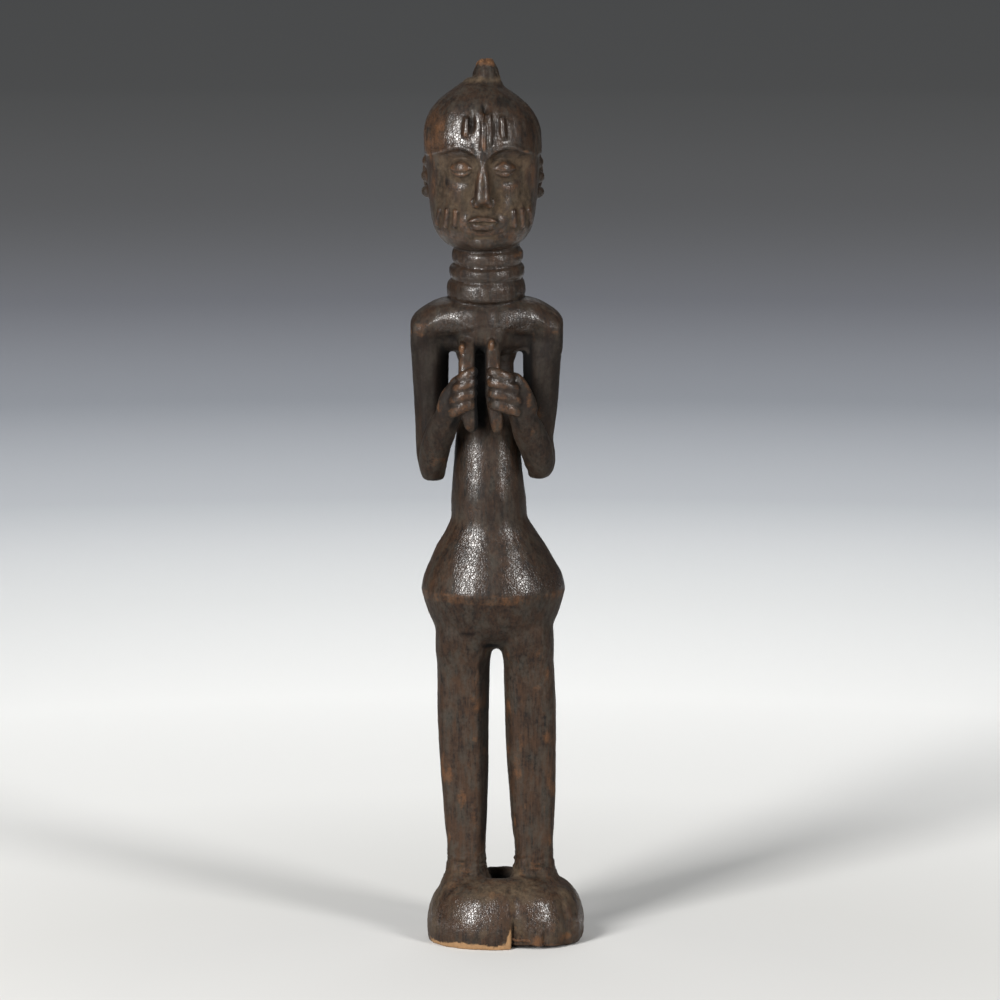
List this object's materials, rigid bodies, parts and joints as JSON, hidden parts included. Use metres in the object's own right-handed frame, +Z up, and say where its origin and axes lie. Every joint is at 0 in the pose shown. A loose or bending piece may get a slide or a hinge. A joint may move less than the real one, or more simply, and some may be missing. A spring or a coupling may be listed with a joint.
{
  "type": "carved standing figure",
  "caption": "Carved dark wood standing figure with ringed neck, hands held before the chest, flared hips, long post legs and a domed foot block.",
  "frame": {"origin": "middle of the bounding box on the flat underside of the foot block", "axes": "+Z up through the figure, -Y the way it faces, +X to the viewer's right"},
  "size_m": [0.0703, 0.0541, 0.36],
  "materials": {
    "carved_wood": "hand-carved hardwood with a dark, finely crazed, satin to glossy patina, rubbed to orange brown on edges and ridges"
  },
  "bodies": {
    "root": {"figure": "carved_wood"}
  },
  "joints": []
}
